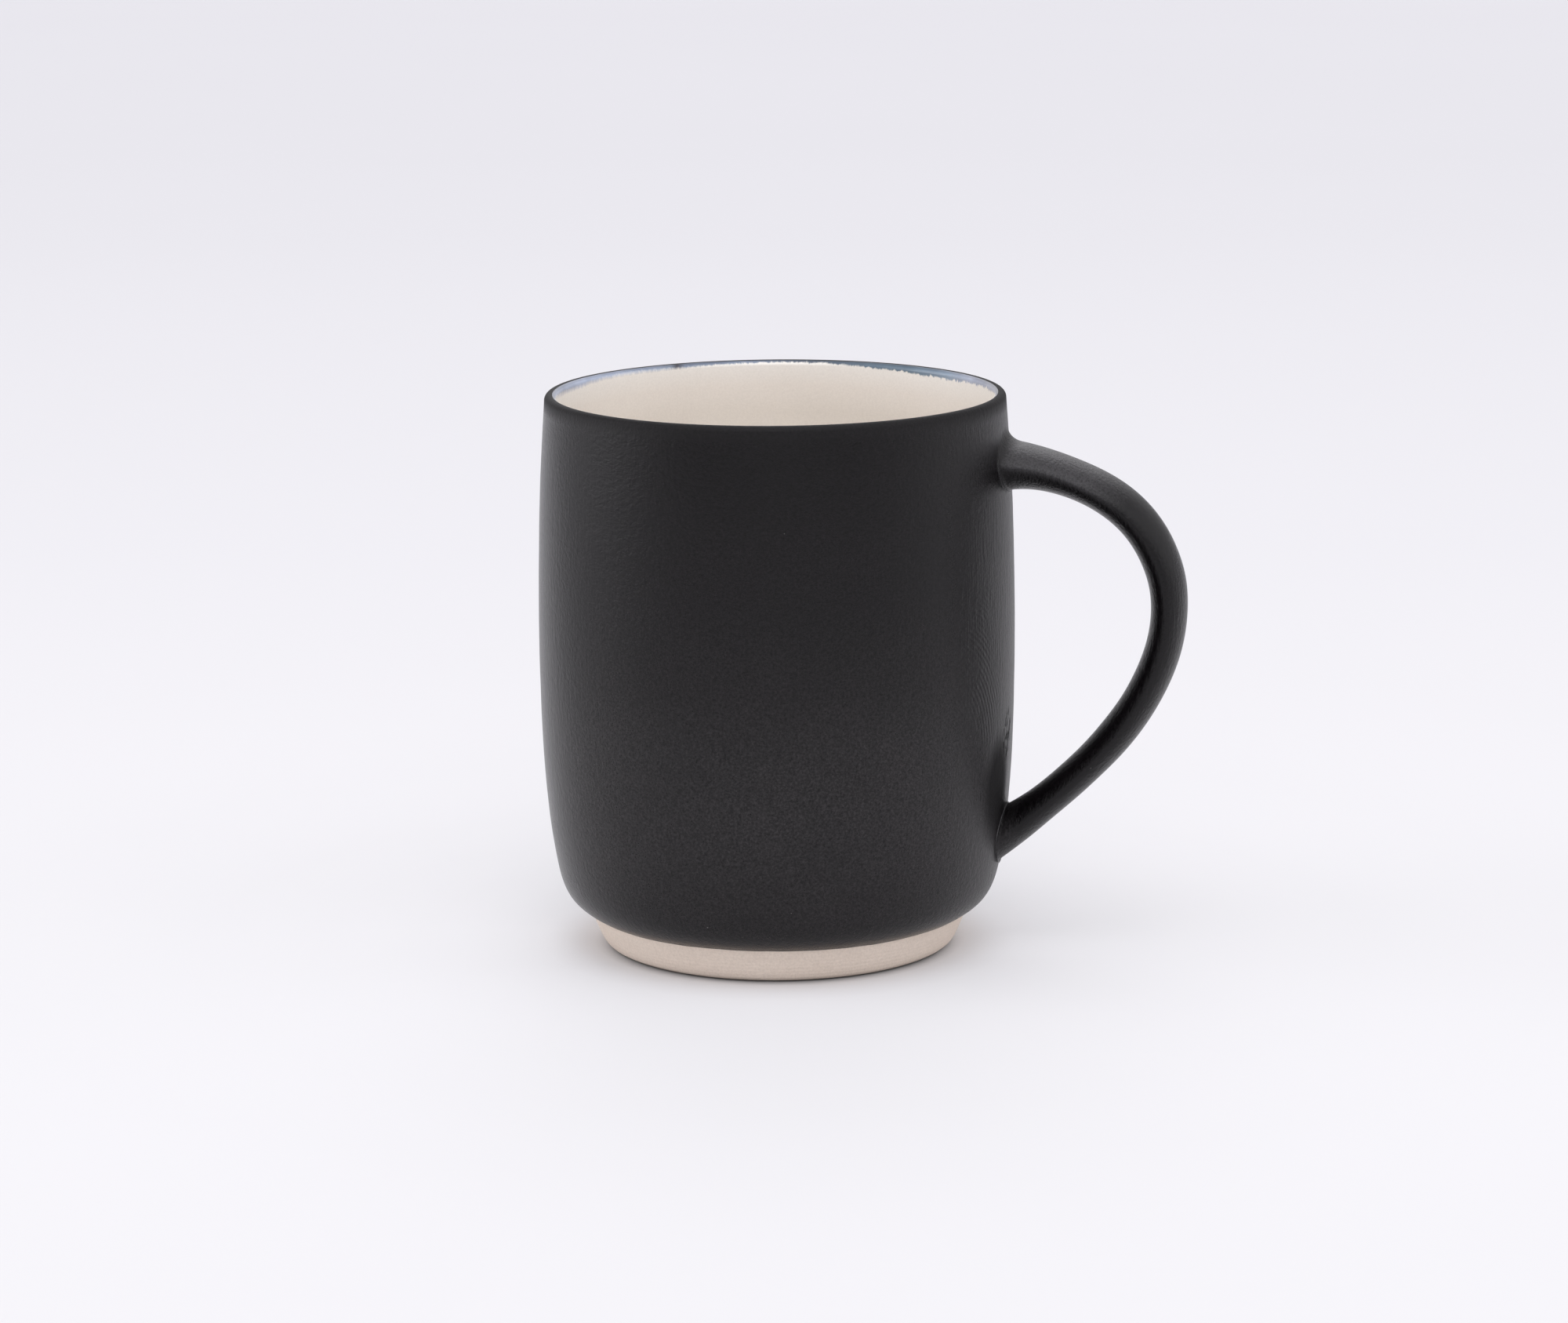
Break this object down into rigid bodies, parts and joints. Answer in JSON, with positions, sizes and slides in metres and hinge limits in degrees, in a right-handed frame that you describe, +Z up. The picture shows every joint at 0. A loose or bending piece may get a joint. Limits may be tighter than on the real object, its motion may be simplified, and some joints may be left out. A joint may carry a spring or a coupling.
{
  "type": "ceramic mug",
  "caption": "Barrel-sided stoneware mug with a luted strap handle, matt dark outside, pale glazed inside and a short bare clay foot.",
  "frame": {"origin": "centre of the flat underside of the foot, on the cup's axis", "axes": "+Z up along the cup's axis to the lip, +X from the axis towards the handle, which lies in the XZ plane, and +Y across the mug"},
  "size_m": [0.1144, 0.084, 0.0984],
  "materials": {
    "bare_stoneware": "bare fired stoneware, pale beige-pink, dry and fine-grained",
    "slip": "bare fired slip",
    "matt_black_coat": "satin-matt near-black, fine leathery grain",
    "pale_liner": "glossy warm cream glaze",
    "lip_overlap": "glossy blue-grey, where the pale glaze runs thin over the dark coat"
  },
  "bodies": {
    "root": {"clay_cup": "bare_stoneware", "clay_handle": "bare_stoneware", "upper_slip_joint": "slip", "lower_slip_joint": "slip", "black_coat_cup": "matt_black_coat", "black_coat_handle": "matt_black_coat", "liner_glaze": "pale_liner", "lip_glaze_overlap": "lip_overlap"}
  },
  "joints": []
}
